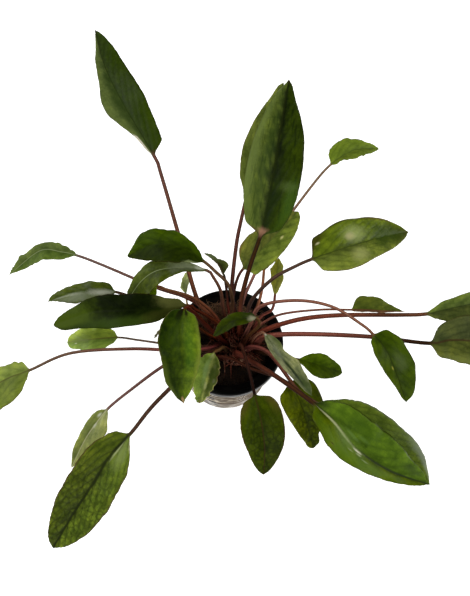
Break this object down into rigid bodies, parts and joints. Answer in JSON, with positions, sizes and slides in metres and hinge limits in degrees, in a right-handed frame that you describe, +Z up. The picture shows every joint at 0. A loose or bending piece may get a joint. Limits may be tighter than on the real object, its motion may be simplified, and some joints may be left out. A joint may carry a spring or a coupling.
{
  "type": "potted aquarium plant",
  "caption": "Rosette of long-stalked lance-shaped leaves growing from a black slotted pot of mineral wool that stands in a low clear cup.",
  "frame": {"origin": "centre of the clear cup's flat base", "axes": "+Z up along the cup's axis, +X to the right and +Y to the back of the plant"},
  "size_m": [0.2713, 0.2434, 0.1146],
  "materials": {
    "clear_plastic": "clear, glossy",
    "black_plastic": "satin",
    "rock_wool": "fibrous, matt",
    "plant_stock": "satin",
    "leaf_green": "waxy, semi-gloss"
  },
  "bodies": {
    "root": {"clear_cup": "clear_plastic", "net_pot": "black_plastic", "rock_wool": "rock_wool", "crown": "plant_stock", "leaf_01_back_left_tall": "leaf_green", "leaf_02_left_far": "leaf_green", "leaf_03_left_grey": "leaf_green", "leaf_04_back_left_dark": "leaf_green", "leaf_05_back_left_bent": "leaf_green", "leaf_06_left_long": "leaf_green", "leaf_07_back_small": "leaf_green", "leaf_08_left_bright": "leaf_green", "leaf_09_left_outer": "leaf_green", "leaf_10_over_pot": "leaf_green", "leaf_11_pale_drying": "leaf_green", "leaf_12_withered": "leaf_green", "leaf_13_front_left_big": "leaf_green", "leaf_14_front_left_pale": "leaf_green", "leaf_15_back_upright_big": "leaf_green", "leaf_16_back_behind": "leaf_green", "leaf_17_back_light": "leaf_green", "leaf_18_back_right_small": "leaf_green", "leaf_19_right_broad": "leaf_green", "leaf_20_right_olive": "leaf_green", "leaf_21_back_hidden": "leaf_green", "leaf_22_right_folded": "leaf_green", "leaf_23_right_far_upper": "leaf_green", "leaf_24_right_far_lower": "leaf_green", "leaf_25_right_arched": "leaf_green", "leaf_26_right_small": "leaf_green", "leaf_27_turned_over": "leaf_green", "leaf_28_front_right_olive": "leaf_green", "leaf_29_front_right_big": "leaf_green", "leaf_30_front_right_behind": "leaf_green", "leaf_31_front": "leaf_green", "leaf_32_over_crown": "leaf_green", "leaf_33_shoot": "leaf_green", "leaf_34_left_tucked": "leaf_green"}
  },
  "joints": []
}
